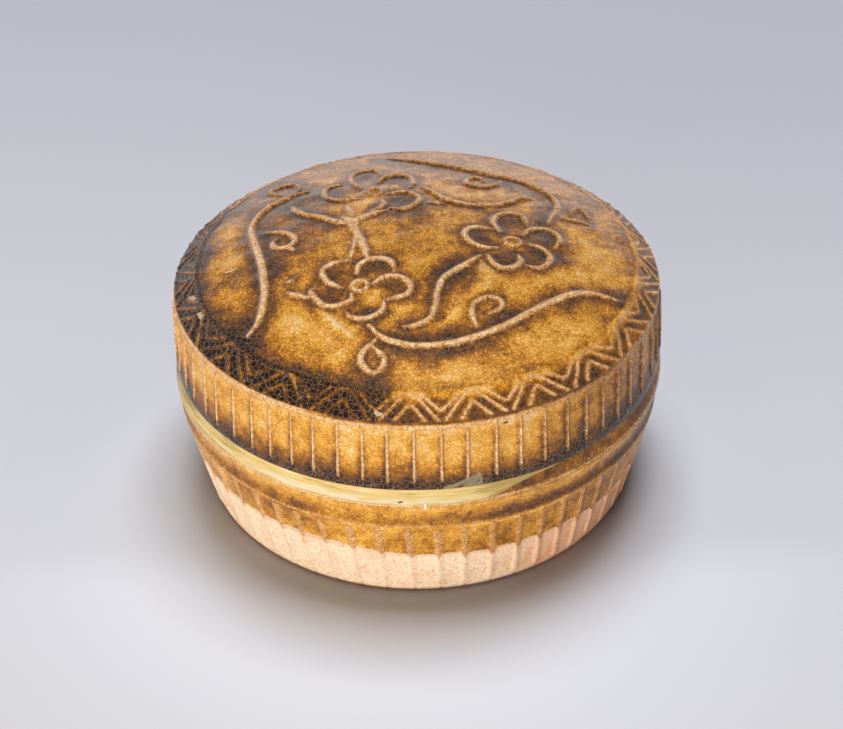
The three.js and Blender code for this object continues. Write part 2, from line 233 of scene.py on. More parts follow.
BRANCHES = [
    # Under and beside the front flower: the drop, the curl, the side stem with its long leaf, the small leaf
    Line([(-8.7, -35.8), (-10.0, -37.3), (-11.3, -38.8), (-12.0, -40.5), (-11.8, -42.3), (-10.7, -43.8),
          (-9.3, -44.6)], 1.7, rise=0.65, thin=(0.5, 0.8)),
    Line([(-9.4, -37.8), (-8.1, -39.4), (-7.1, -41.2), (-7.4, -43.1), (-8.3, -44.1), (-9.3, -44.6)], 1.5,
         rise=0.6, thin=(0.6, 0.8)),
    Line([(12.6, -32.6), (11.7, -29.4), (11.9, -26.5), (13.9, -24.4), (16.4, -23.6), (18.3, -25.2),
          (17.3, -27.4), (15.1, -28.5)], 1.4, rise=0.6),
    Line([(-2.8, -32.8), (0.1, -32.3), (2.8, -30.5), (3.9, -26.5), (4.5, -22.5), (5.7, -18.5),
          (8.4, -15.3), (11.7, -12.4), (14.0, -9.8)], 1.5, rise=0.65, dark_left=3.0, dark_right=2.4),
    Line([(8.8, -15.8), (10.3, -14.2), (12.1, -13.7)], 1.1, rise=0.45),
    Line([(6.1, -31.2), (8.6, -27.6), (11.6, -23.7), (14.4, -19.4), (15.2, -15.8), (14.2, -11.8)],
         3.8, rise=0.55, dark_left=1.6, dark_right=1.0, thin=(0.3, 0.3), soft=True),
    Line([(14.1, -11.4), (14.1, -15.6), (13.3, -19.1)], 0.9, rise=0.25, dark_left=0.5, dark_right=0.5),
    Line([(-21.5, -25.4), (-19.5, -28.2), (-17.3, -31.2), (-15.4, -33.2), (-14.1, -34.7)], 2.2, rise=0.35,
         dark_left=0.5, dark_right=1.8, soft=True),
    Line([(-28.0, -18.9), (-26.2, -20.2), (-24.0, -21.5), (-22.7, -21.2)], 1.6, rise=0.6),
    Line([(-28.2, -15.4), (-27.0, -15.2)], 1.6, rise=0.45),
    # Left: the curl, the loop, the side stem, and the trunk that joins the front and back flowers
    Line([(-33.8, 5.9), (-30.7, 4.8), (-28.0, 2.5), (-27.2, -0.1), (-28.9, -2.0), (-31.3, -1.6),
          (-32.3, 0.6), (-31.5, 2.3)], 1.5, rise=0.6),
    Line([(-28.9, -2.0), (-27.1, -3.9)], 1.5, rise=0.5),
    Line([(-31.8, 24.9), (-33.8, 26.6), (-34.2, 28.8), (-32.5, 30.0), (-29.6, 30.2), (-27.7, 28.4),
          (-27.2, 25.8)], 1.5, rise=0.6),
    Line([(-28.5, 16.6), (-27.5, 13.8), (-24.9, 10.7), (-21.3, 8.5), (-18.5, 5.9), (-16.3, 4.6),
          (-14.3, 4.2)], 1.7, dark_left=2.6, dark_right=2.4),
    Line([(-6.8, 9.0), (-9.7, 7.8), (-12.6, 5.9), (-14.1, 3.8), (-13.4, 0.2), (-12.3, -3.4), (-11.3, -7.0),
          (-10.8, -10.2)], 2.0, rise=0.55, dark_left=1.4, dark_right=1.4),
    Line([(-13.4, 0.2), (-13.4, -4.1), (-14.2, -8.4), (-14.5, -11.0)], 1.2, rise=0.5, dark_left=1.4, dark_right=1.4),
    Line([(-15.7, 13.1), (-15.0, 9.6), (-14.0, 5.9)], 2.0, rise=0.6, dark_left=1.4, dark_right=1.4),
    Line([(-15.6, 6.6), (-14.3, 4.4), (-13.8, 1.6)], 3.2, rise=0.5, dark_left=1.4, dark_right=1.4),
    # Right: the side stem with its small leaf, the curl, and the bud
    Line([(2.0, 20.4), (4.4, 17.1), (7.0, 14.0), (10.6, 12.0), (14.6, 11.5), (18.6, 12.4), (21.8, 14.6),
          (24.3, 17.0), (27.2, 17.9)], 1.7, dark_left=1.6, dark_right=1.8),
    Line([(16.4, 25.4), (15.3, 27.3), (12.8, 26.6), (11.9, 23.8), (13.2, 22.3), (16.4, 22.1), (18.9, 23.8),
          (20.3, 27.0)], 1.4, rise=0.6),
    Line([(3.3, 12.4), (6.3, 11.9)], 1.8, rise=0.5),
    Line([(35.8, 12.7), (36.3, 14.6), (37.4, 16.3), (39.2, 15.3), (39.7, 13.1)], 1.4, rise=0.6),
    Line([(34.1, 9.9), (36.7, 10.3), (39.6, 9.6)], 1.7, rise=0.6),
]


def flower_lines():
    """Eyes and petals of the three flowers."""
    lines = []
    turn = np.radians(np.arange(0, 361, 45))
    for (x, y), petals in FLOWERS:
        eye = np.column_stack([x + EYE_RADIUS * np.cos(turn), y + EYE_RADIUS * np.sin(turn)])
        lines.append(Line(list(eye), 1.2, rise=0.5, dark_left=0.8, dark_right=0.8, thin=(1, 1)))
        lines += [Line(petal, PETAL_WIDTH, PETAL_RISE, dark_left=2.3, dark_right=2.3) for petal in petals]
    return lines


# Soft patches where the glaze on the crown lies thick (above 0) or thin (below 0), some of them painted shade: place,
# reach, amount
# The dark patches just in front of the front stem and its drop, near (2, -41) and (10, -40), are painted shade.
POOLS_AND_SHADE = [
    ((-25.0, 17.0), 8.0, 0.17), ((-27.0, 5.0), 6.0, 0.12), ((-1.0, 8.0), 4.5, 0.22), ((10.0, -19.0), 4.0, 0.12),
    ((-14.0, 4.5), 4.0, -0.14), ((2.0, -41.0), 4.6, 0.22), ((10.0, -40.0), 5.0, 0.14), ((21.0, -37.5), 6.0, 0.10),
    ((31.0, -33.0), 6.0, -0.06), ((24.0, -23.0), 6.0, -0.10), ((33.0, -15.0), 5.0, -0.12), ((39.0, -8.0), 5.0, -0.06),
    ((-26.0, -30.0), 8.0, -0.10), ((-14.0, -36.0), 6.0, -0.08), ((4.0, -34.0), 4.0, -0.04),
    ((-14.0, 12.0), 5.0, -0.10), ((-7.0, -33.0), 2.5, -0.10), ((-16.0, -32.0), 3.0, -0.06), ((0.0, -9.0), 4.0, 0.12),
    ((-32.0, -33.0), 5.0, 0.12), ((-19.0, -41.0), 5.0, 0.12), ((-1.0, -41.0), 4.0, 0.12), ((40.0, 24.0), 5.0, 0.10),
    ((17.0, -41.0), 5.0, 0.08), ((41.0, -23.0), 4.0, 0.12), ((8.0, -18.0), 3.5, 0.12), ((-48.0, 2.0), 3.5, 0.12), ((-38.0, 14.0), 4.0, -0.08),
    ((-38.0, -1.0), 3.0, -0.08), ((40.0, 3.0), 5.0, 0.04), ((30.0, -25.0), 3.0, 0.06), ((13.0, -33.5), 2.5, -0.06),
    ((-40.0, -16.0), 3.0, -0.08), ((40.0, -15.0), 4.0, -0.06), ((-8.0, -46.0), 3.0, -0.04), ((-28.0, -8.0), 6.0, 0.08), ((-24.0, 1.0), 5.0, 0.08),
    ((-40.0, -26.0), 4.0, 0.16), ((8.0, -16.0), 4.0, 0.14), ((8.0, -6.0), 5.0, 0.08), ((0.0, 0.0), 4.0, 0.10),
    ((-6.0, 14.0), 3.5, 0.14), ((36.0, 20.0), 6.0, 0.08), ((33.0, 31.0), 6.0, 0.08), ((-18.0, 33.0), 5.0, 0.06),
    ((-41.0, 22.0), 5.0, 0.06), ((-9.0, -47.0), 4.0, 0.16), ((-23.0, -38.0), 5.0, 0.06), ((0.0, -32.0), 3.0, -0.08),
    ((-8.0, -24.5), 3.0, -0.26), ((-40.5, -8.5), 3.0, 0.12), ((6.0, -45.0), 4.0, -0.16), ((9.0, -49.0), 3.0, 0.20), ((9.0, -43.0), 4.0, -0.14), ((24.0, -36.0), 4.5, -0.12),
    ((-32.0, 16.0), 4.0, 0.10), ((-41.0, 25.0), 4.0, 0.10), ((-17.0, 24.0), 3.0, 0.08), ((-24.0, -17.0), 3.0, 0.08),
    ((-24.0, -25.0), 3.0, 0.07), ((8.0, -16.0), 2.5, 0.10), ((24.0, 24.0), 4.0, 0.07), ((-16.0, -8.0), 3.0, -0.08),
    ((-8.0, -23.5), 2.5, -0.07), ((-8.0, 16.0), 2.5, -0.07), ((24.0, 8.0), 3.0, -0.06), ((-40.0, -4.0), 3.0, -0.08),
    ((24.0, -42.0), 3.0, 0.10),
    ((9.5, -21.0), 2.0, -0.12), ((7.5, -15.5), 2.5, 0.12), ((-41.5, -8.0), 3.5, 0.08), ((-41.0, 8.0), 4.0, -0.14),
    ((-24.0, 24.0), 4.0, 0.06), ((0.0, 7.0), 3.5, 0.06), ((24.0, -16.0), 3.0, 0.06), ((32.0, -9.0), 3.0, 0.08),
    ((48.0, -7.0), 3.5, 0.12), ((48.0, 5.0), 4.0, 0.08), ((40.0, 20.0), 5.0, 0.06), ((-22.0, 20.0), 4.0, 0.06),
    ((-40.0, 24.0), 4.5, 0.14), ((-32.0, 16.0), 3.5, 0.12), ((-32.0, 8.0), 3.0, 0.10), ((-16.0, 16.0), 2.5, -0.08),
    ((-8.0, 15.0), 3.0, -0.12), ((-16.0, 8.0), 3.5, -0.10), ((-8.0, 24.0), 3.0, -0.10), ((-22.0, -8.0), 3.5, 0.12),
    ((-15.5, -8.0), 2.5, -0.08), ((-8.0, 8.0), 2.5, 0.08), ((-8.0, 1.0), 4.0, 0.08), ((48.0, 8.0), 4.0, 0.10),
    ((-8.0, -33.0), 2.5, -0.10), ((-17.0, -32.0), 3.0, -0.06), ((16.0, -32.0), 3.5, -0.08), ((16.0, -24.0), 3.0, -0.06),
    ((24.0, -24.0), 4.0, -0.06), ((8.0, -17.0), 3.0, 0.06), ((24.0, 8.0), 3.0, -0.05), ((16.0, -7.0), 2.5, -0.06),
    ((24.0, 24.0), 4.0, 0.06), ((40.0, 26.0), 4.0, 0.06), ((33.0, 33.0), 4.0, 0.06), ((-33.0, 33.0), 9.0, 0.15),
    ((22.0, 40.0), 4.0, 0.04), ((-8.0, 33.0), 3.0, -0.04), ((-20.0, -24.0), 3.0, -0.05),
    ((33.0, -24.5), 3.5, 0.08), ((8.0, -15.0), 3.0, 0.08), ((-16.0, 20.0), 4.0, -0.08), ((0.0, 33.0), 4.0, -0.08),
    ((-24.0, 26.0), 4.0, -0.08), ((16.0, -8.0), 3.5, -0.06), ((25.0, 9.0), 4.0, -0.06), ((16.0, 34.0), 5.0, 0.05), ((44.0, 5.0), 4.0, 0.10), ((32.0, -24.0), 3.0, 0.08), ((-40.0, -20.0), 4.0, 0.04),
    ((-7.0, -28.0), 5.0, -0.08), ((3.0, -14.0), 5.0, -0.06),
    ((32.0, -8.0), 4.0, 0.14), ((0.0, -22.0), 4.0, 0.08), ((31.0, -22.5), 3.5, 0.08), ((5.0, 5.0), 4.0, 0.06),
    ((-12.0, 38.0), 6.0, -0.06), ((-9.0, 12.0), 4.0, -0.10), ((16.0, 17.0), 5.0, -0.08),
]
PETAL_POOL = 0.46
SOFT_SHARE = 0.18


def crown_relief(x, y):
    """Rise of the scroll, distance from the edge of its lines, and thickness of the glaze on the crown, with some
    painted shade added to it.
    """
    rise = np.zeros(len(x))
    gap = np.full(len(x), 9.0)
    dark = np.zeros(len(x))
    thin = np.zeros(len(x))
    for line in [*STEMS, *BRANCHES, *flower_lines()]:
        near, away, left, travelled, length = beside(line.path, x, y, 9.0)
        taper = min(line.taper, length / 2)
        root = line.thin[0] + (1 - line.thin[0]) * ease(travelled, 0, taper)
        tip = line.thin[1] + (1 - line.thin[1]) * ease(length - travelled, 0, taper)
        half = line.width / 2 * root * tip
        swell = np.clip(1 - (away / (1.3 * half)) ** 2, 0, 1) ** 1.4
        rise[near] = np.maximum(rise[near], line.rise * root * tip * swell)
        if line.soft:
            thin[near] = np.maximum(thin[near], swell)
        else:
            gap[near] = np.minimum(gap[near], away - half)
        beyond = np.maximum(away - half, 0)
        reach = np.where(left, *line.dark)
        halo = 0.40 * ease(reach, 0, 3.4) * np.exp(-(beyond / reach) ** 2)
        # A narrow dark edge at the foot of each crisp line: partly glaze pooled there, partly painted shade under the
        # line.
        if not line.soft:
            halo += 0.08 * np.exp(-(beyond / 0.9) ** 2)
        dark[near] = np.maximum(dark[near], halo)
    thickness = 0.27 + dark - SOFT_SHARE * thin + 0.055 * ease(y, -18, 2) + 0.09 * ease(y, 22, 42)
    rise += 0.07 * ripple(x, y, 31, 4, 11) - 0.1
    # Patches of thick or thin glaze, some of them painted shade
    for (pool_x, pool_y), reach, amount in POOLS_AND_SHADE:
        thickness += amount * np.exp(-((x - pool_x) ** 2 + (y - pool_y) ** 2) / reach ** 2)
    for _, petals in FLOWERS:
        for petal in petals:
            pool_x, pool_y = np.mean(petal, axis=0)
            thickness += PETAL_POOL * np.exp(-((x - pool_x) ** 2 + (y - pool_y) ** 2) / 2.4 ** 2)
    thickness -= 0.6 * np.maximum(thickness - 0.6, 0)
    return rise, gap, thickness


def zigzag_relief(angle, radius):
    """Rise of the shoulder's zigzag and distance from the edge of its lines."""
    peaks = all_round(ZIGZAG_PEAKS, ZIGZAG_COUNT, 3, 0.4)
    random = np.random.default_rng(11)
    rise = np.zeros(len(angle))
    gap = np.full(len(angle), 9.0)
    inner, outer, low_peak = 50.2, 54.75, 52.1
    per_degree = math.radians(52.5)
    slant = math.hypot(1, SHOULDER_SLOPE)
    for i, peak in enumerate(peaks):
        after = peaks[(i + 1) % ZIGZAG_COUNT]
        pitch = (after - peak) % 360
        middle = peak + pitch / 2
        notch = 52.4 + random.uniform(-0.4, 0.5)
        shape = [
            [(-0.44 * pitch, outer), (-1.7, inner + 0.1), (0, inner - 0.15), (1.7, inner + 0.1), (0.44 * pitch, outer)],
            [(-3.3, outer), (-0.5, low_peak + 0.05), (0.5, low_peak + 0.05), (3.3, outer)],
            [(pitch / 2 - 4.2, inner + 0.1), (pitch / 2 - 0.5, notch), (pitch / 2 + 0.5, notch),
             (pitch / 2 + 4.2, inner + 0.1)],
        ]
        for corners in shape:
            path = np.array([((peak + turn + random.uniform(-0.25, 0.25)) * per_degree,
                              (at + random.uniform(-0.12, 0.12)) * slant) for turn, at in corners])
            turned = (angle - middle + 180) % 360 - 180 + middle
            near, away, *_ = beside(path, turned * per_degree, radius * slant, 2.0)
            rise[near] = np.maximum(rise[near], 0.28 * np.clip(1 - (away / 0.7) ** 2, 0, 1) ** 1.3)
            gap[near] = np.minimum(gap[near], away - 0.44)
    return rise, gap


class Skin:
    """The closed surface of a turned piece: rings of points in order, from one pole to the other."""

    def __init__(self):
        self.rings = []

    def add(self, radius, height, angles):
        self.rings.append((radius, height, np.asarray(angles, float)))

    def points(self):
        """Angle, radius, height and outward direction of every point, ring after ring."""
        radius = np.array([ring[0] for ring in self.rings])
        height = np.array([ring[1] for ring in self.rings])
        counts = [len(ring[2]) for ring in self.rings]
        out_r, out_z = -np.gradient(height), np.gradient(radius)
        size = np.hypot(out_r, out_z)
        spread = [np.repeat(values, counts) for values in (radius, height, out_r / size, out_z / size)]
        return np.concatenate([ring[2] for ring in self.rings]), *spread

    def faces(self):
        faces = []
        start = 0
        for (_, _, near), (_, _, far) in zip(self.rings, self.rings[1:]):
            here, there = start, start + len(near)
            faces += strip(near, far, here, there)
            start = there
        return faces


def strip(near, far, here, there):
    """Faces between two rings, which may have different numbers of points."""
    many, others = len(near), len(far)
    if many == others:
        turn = [(i + 1) % many for i in range(many)]
        return [(here + i, there + i, there + turn[i], here + turn[i]) for i in range(many)]
    faces = []
    i = j = 0
    while i < many or j < others:
        next_near = near[i + 1] if i + 1 < many else near[0] + 360
        next_far = far[j + 1] if j + 1 < others else far[0] + 360
        if others > 1 and j < others and (i >= many or many == 1 or next_far <= next_near):
            faces.append((here + i % many, there + j, there + (j + 1) % others))
            j += 1
            if many == 1 and j == others:
                break
        else:
            faces.append((here + i, there + j % others, here + (i + 1) % many))
            i += 1
            if others == 1 and i == many:
                break
    return faces


def even(count):
    return np.arange(count) * 360 / count - 180


def at_ribs(ribs, shares):
    """Angles of columns that crowd together at every rib, sorted from the back of the box round."""
    ribs = np.sort((ribs + 180) % 360 - 180)
    widths = np.diff([*ribs, ribs[0] + 360])
    return (ribs[:, None] + widths[:, None] * np.array(shares)).ravel()


def rib_place(angle, ribs):
    """Share of the way from one rib to the next, and the number of that flute."""
    ribs = np.sort((ribs + 180) % 360 - 180)
    turned = (angle - ribs[0]) % 360 + ribs[0]
    flute = np.searchsorted(ribs, turned, side="right") - 1
    widths = np.diff([*ribs, ribs[0] + 360])
    return (turned - ribs[flute]) / widths[flute], flute, widths[flute]


def between(start, end, count):
    """Profile points from start up to, but not at, end."""
    share = np.arange(count)[:, None] / count
    return np.array(start) + (np.array(end) - start) * share


def bend(centre, radius, from_angle, to_angle, count):
    """Profile points on an arc."""
    turn = np.radians(np.linspace(from_angle, to_angle, count))
    return np.column_stack([centre[0] + radius * np.cos(turn), centre[1] + radius * np.sin(turn)])


RIB_SHARES = [0, 0.03, 0.06, 0.095, 0.14, 0.20, 0.28, 0.38, 0.50, 0.62, 0.72, 0.80, 0.86, 0.905, 0.94, 0.97]


def crown_height(radius):
    return CROWN_HEIGHT - CROWN_RISE * (radius / FIELD_RADIUS) ** 2


def lid_skin():
    """The lid's surface, from the middle of the crown over the wall to the middle of the ceiling."""
    skin = Skin()
    ribs = all_round(LID_RIBS, LID_RIB_COUNT, 5, 0.35)
    ribbed = at_ribs(ribs, RIB_SHARES)
    regular = ribbed[0] + np.arange(len(ribbed)) * 360 / len(ribbed)
    skin.add(0, CROWN_HEIGHT, [-180])
    # Rings of the crown, each with enough columns to keep its cells near square
    zones = [(0.4, 3, 0.5, 48), (3, 8, 0.46, 112), (8, 15, 0.44, 224), (15, 26, 0.43, 384),
             (26, 40, 0.42, 600), (40, FIELD_RADIUS, 0.42, 800)]
    for low, high, step, columns in zones:
        rings = math.ceil((high - low) / step)
        for radius in low + (high - low) * np.arange(rings) / rings:
            skin.add(radius, crown_height(radius), even(columns))
    for radius in np.linspace(FIELD_RADIUS, LID_TOP_RADIUS - 0.45, 17):
        skin.add(radius, crown_height(FIELD_RADIUS) - SHOULDER_SLOPE * (radius - FIELD_RADIUS), regular)
    wall = [(LID_TOP_RADIUS - 0.18, LID_TOP - 0.02), (LID_TOP_RADIUS - 0.02, LID_TOP - 0.25)]
    heights = [LID_TOP - 0.6, 49.7, 49.1, 48.5, 47.9, 46.5, 43.0, 40.5, 38.8, 37.4, 36.4, 35.6, 34.8, 34.2]
    lean = (LID_FOOT_RADIUS - LID_TOP_RADIUS) / (LID_TOP - SEAM)
    wall += [(LID_TOP_RADIUS + lean * (LID_TOP - height), height) for height in heights]
    for radius, height in wall:
        clustered = ease(LID_TOP - height, 0.3, 1.6)
        skin.add(radius, height, regular + (ribbed - regular) * clustered)
    for radius, height in bend((LID_FOOT_RADIUS - 0.8, SEAM + 0.85), 0.8, 0, -90, 5)[1:]:
        skin.add(radius, height, ribbed)
    plain = even(128)
    inside = [(LID_MOUTH_RADIUS + 0.3, SEAM + 0.05), (LID_MOUTH_RADIUS, SEAM + 0.35)]
    inside += list(between((LID_MOUTH_RADIUS, SEAM + 0.8), (LID_MOUTH_RADIUS, LID_TOP - 5.6), 10))
    inside += list(bend((LID_MOUTH_RADIUS - 5.5, LID_TOP - 5.6), 5.5, 0, 80, 8))
    for radius, height in inside:
        skin.add(radius, height, plain)
    for radius in np.linspace(LID_MOUTH_RADIUS - 6.5, 3, 16):
        skin.add(radius, crown_height(radius) - LID_THICKNESS - 0.25, plain)
    skin.add(0, crown_height(0) - LID_THICKNESS - 0.25, [-180])
    return skin, ribs


def lid_surface():
    """Mesh of the lid with what its glaze follows."""
    skin, ribs = lid_skin()
    angle, radius, height, out_r, out_z = skin.points()
    outside = np.arange(len(angle)) < np.flatnonzero(height <= SEAM + 0.06)[0]
    x, y = radius * np.sin(np.radians(angle)), -radius * np.cos(np.radians(angle))
    rise = np.zeros(len(angle))
    line_gap = np.full(len(angle), 9.0)
    line_glaze = np.full(len(angle), 0.06)
    glaze = np.full(len(angle), 0.42)

    left_dark = span(angle, -112, -14, 14)
    crown = outside & (radius < FIELD_RADIUS - 0.01)
    rise[crown], line_gap[crown], glaze[crown] = crown_relief(x[crown], y[crown])
    rim = ease(radius, 46.0, 49.8) * 0.12 + left_dark * (ease(radius, 45, 49.5) * 0.18 + ease(radius, 40, 48) * 0.1)
    glaze[crown] += rim[crown]
    line_glaze[crown] = (0.24 + 0.2 * ease(y, -10, 30) + 0.06 * ease(x, 10, 30))[crown]

    shoulder = outside & (radius >= FIELD_RADIUS - 0.01) & (height > LID_TOP - 0.1)
    rise[shoulder], line_gap[shoulder] = zigzag_relief(angle[shoulder], radius[shoulder])
    border = 0.1 * np.exp(-((radius - 50.0) / 0.4) ** 2)
    sunk = ease(radius, 49.6, 50.6) * (1 - ease(radius, 54.2, 54.9))
    rise[shoulder] += (border - 0.22 * sunk)[shoulder]
    spilled = span(angle, -16, 42, 12)
    arris = ease(radius, 54.5, 55.1) * (1 - 0.9 * spilled)
    deep = ease(radius, 50.0, 52.2)
    near_line = np.exp(-(np.maximum(line_gap, 0) / 0.4) ** 2)
    ground = 0.38 + 0.34 * deep + (0.54 - 0.24 * deep) * left_dark - 0.16 * near_line
    glaze[shoulder] = (ground * (1 - arris) + 0.42 * arris)[shoulder]
    line_glaze[shoulder] = (0.18 + 0.40 * left_dark + 0.12 * span(angle, 60, 130, 25))[shoulder]
    broken = left_dark * (0.06 + 0.14 * ripple(x, y, 41, 3, 9))
    line_gap[shoulder] = np.minimum(line_gap + broken, 1.0 - 1.0 * arris)[shoulder]

    wall = outside & ~crown & ~shoulder
    share, flute, width = rib_place(angle, ribs)
    spacing = np.radians(width) * radius
    rib_gap = np.minimum(share, 1 - share) * spacing
    per_flute = np.random.default_rng(8).uniform(-1, 1, LID_RIB_COUNT)[flute]
    arch = 1 - (2 * share - 1) ** 2
    rib_end = ease(height, 35.2, 37.0) * (1 - ease(height + 0.9 * rib_gap, 48.2, 49.0))
    rib = 0.4 * np.clip(1 - (rib_gap / 0.52) ** 2, 0, 1) ** 1.3 * rib_end
    hollow = -0.24 * arch ** 0.7 * ease(height, 35.4, 38) * (1 - ease(height, 48.4, 49.6))
    bulge = 0.12 * np.exp(-((height - 35) / 1.1) ** 2) * arch
    rise[wall] = (rib + hollow + bulge + 0.06 * unevenness(angle, height, 22, 9))[wall]
    right = span(angle, 45, 110, 30)
    pool_height = 0.8 * per_flute - 0.7 * right
    pool_top = 1 - ease(height, 38.0 + pool_height, 42.3 + pool_height + 1.8 * (1 - arch))
    pooled = 0.45 * pool_top + 0.55 * (1 - ease(height, 34.8 + pool_height, 38.6 + pool_height))
    # Darker glaze beside each rib, strongest on its left side: partly glaze pooled at the rib's foot, mostly painted
    # shade on the rib's shaded side.
    rib_pool_and_shade = 0.3 * np.exp(-((1 - share) * spacing / 1.05) ** 2) + 0.1 * np.exp(-(share * spacing / 0.7) ** 2)
    top = ease(height, 46.5, 49.0)
    spill = spilled * ease(height, 49.7, 50.5)
    # The 0.16 * right term is painted shade: it darkens the flutes on the right, the side away from the lamps.
    flute_glaze = (0.23 + rib_pool_and_shade * (1 - 0.6 * top) + 0.58 * pooled * (1 - 0.25 * right) + 0.03 * per_flute
                   + 0.16 * right - 0.07 * top - 0.04 * span(angle, -30, 5, 12))
    glaze[wall] = (flute_glaze * (1 - spill) + 0.66 * spill)[wall]
    bare_edge = ease(height + 0.6 * spilled, 48.8, 49.5) * (1 - ease(height, 50.6, 50.88))
    worn = (0.6 * ease(height, 46.2, 49.6) + 0.6 * bare_edge) * (1 - spill) - 0.3 * spill
    bare_rib = rib_gap - 0.38 + 1.5 * (1 - ease(height, 34.6, 35.6)) + 0.5 * ease(height, 48.2, 49.4)
    line_gap[wall] = np.minimum(bare_rib, 0.85 - worn)[wall]
    line_glaze[wall] = (0.10 + 0.22 * right + 0.42 * (1 - ease(height, 34.8, 38.2)) + 0.06 * worn)[wall]

    rise[outside & (height < SEAM + 0.9)] *= 0.5
    inside = ~outside
    rise[inside] = 0
    bare = inside & (height < SEAM + 3.5)
    glaze[inside] = np.where(bare, 0.02, 0.5)[inside]
    points = placed(angle, radius + rise * out_r, height + rise * out_z)
    return points, skin.faces(), {
        "glaze": glaze, "line_gap": line_gap, "line_glaze": line_glaze,
        "above_edge": np.where(inside, height - SEAM - 3.0, 9.0),
        "lip": np.zeros(len(angle)),
        "gloss": 0.8 * crown + 0.2 * shoulder,
    }


def placed(angle, radius, height):
    turn = np.radians(angle)
    return np.column_stack([radius * np.sin(turn), -radius * np.cos(turn), height])


def base_skin():
    """The base's surface, from the middle of the well over the edge to the middle of the foot."""
    skin = Skin()
    ribs = all_round(BASE_RIBS, BASE_RIB_COUNT, 6, 0.4)
    ribbed = at_ribs(ribs, RIB_SHARES)
    regular = ribbed[0] + np.arange(len(ribbed)) * 360 / len(ribbed)
    plain = even(160)
    skin.add(0, WELL_FLOOR, [-180])
    for radius in np.linspace(4, WELL_FLOOR_RADIUS - WELL_FILLET - 1, 12):
        skin.add(radius, WELL_FLOOR, plain)
    rim_inside = RIM_RADIUS - RIM_THICKNESS
    well = list(bend((WELL_FLOOR_RADIUS - WELL_FILLET, WELL_FLOOR + WELL_FILLET), WELL_FILLET, -90, 0, 9))
    well += list(between((WELL_FLOOR_RADIUS, WELL_FLOOR + WELL_FILLET), (rim_inside, RIM_TOP - 0.6), 14))[1:]
    well += list(bend((rim_inside + 0.6, RIM_TOP - 0.6), 0.6, 180, 90, 4))
    well += list(bend((RIM_RADIUS - 0.6, RIM_TOP - 0.6), 0.6, 90, 0, 4))
    well += [(RIM_RADIUS, RIM_TOP - 2), (RIM_RADIUS, RIM_TOP - 4), (RIM_RADIUS, SEAM + 0.4),
             (RIM_RADIUS + 0.3, SEAM)]
    for radius, height in well:
        skin.add(radius, height, plain)
    edge = [
        (EDGE_RADIUS - 3.4, SEAM), (EDGE_RADIUS - 1.7, SEAM - 0.02), (EDGE_RADIUS - 1.45, SEAM - 0.2),
        (EDGE_RADIUS - 1.3, SEAM - 0.6), (EDGE_RADIUS - 1.1, SEAM - 1.2), (EDGE_RADIUS - 0.85, SEAM - 1.8),
        (EDGE_RADIUS - 0.55, SEAM - 2.4), (EDGE_RADIUS - 0.3, SEAM - 2.9), (EDGE_RADIUS - 0.14, SEAM - 3.2),
        (EDGE_RADIUS - 0.06, SEAM - 3.5), (EDGE_RADIUS - 0.04, SEAM - 4.1), (EDGE_RADIUS - 0.12, SEAM - 4.7),
        (EDGE_RADIUS - 0.42, SEAM - 5.3), (EDGE_RADIUS - 0.78, SEAM - 6.1), (EDGE_RADIUS - 1.04, SEAM - 7.0),
        (EDGE_RADIUS - 1.14, SEAM - 7.9), (EDGE_RADIUS - 1.10, SEAM - 8.5), (EDGE_RADIUS - 1.00, SEAM - 9.0),
        (EDGE_RADIUS - 0.84, SEAM - 9.4), (EDGE_RADIUS - 0.70, SEAM - 9.8),
        (EDGE_RADIUS - 0.74, SEAM - 10.2), (EDGE_RADIUS - 1.1, SEAM - 10.5),
        (EDGE_RADIUS - 1.32, SEAM - 10.8),
    ]
    for radius, height in edge:
        skin.add(radius, height, regular)
    slope = (WALL_TOP_RADIUS - FOOT_RADIUS) / (WALL_TOP - 1)
    for height in [22.0, 21.4, 20.4, 18.6, 16.8, 15.6, 14.9, 14.2, 13.5, 12.8, 12.1, 11.4, 10.6, 8.8, 6.6,
                   4.4, 2.8, 1.9]:
        clustered = ease(WALL_TOP - height, 0.2, 1.2)
        skin.add(WALL_TOP_RADIUS - slope * (WALL_TOP - height), height, regular + (ribbed - regular) * clustered)
    for radius, height in bend((FOOT_RADIUS - 1.5, 1.5), 1.5, 0, -90, 6):
        skin.add(radius, height, ribbed)
    ring_inside = FOOT_RADIUS - FOOT_RING
    for radius, height in [(FOOT_RADIUS - 3, 0), (ring_inside + 1, 0), (ring_inside, 0.12),
                           (ring_inside - 0.7, 0.75), (ring_inside - 1.6, FOOT_HOLLOW)]:
        skin.add(radius, height, plain)
    for radius in np.linspace(ring_inside - 4, 4, 9):
        skin.add(radius, FOOT_HOLLOW, plain)
    skin.add(0, FOOT_HOLLOW, [-180])
    return skin, ribs


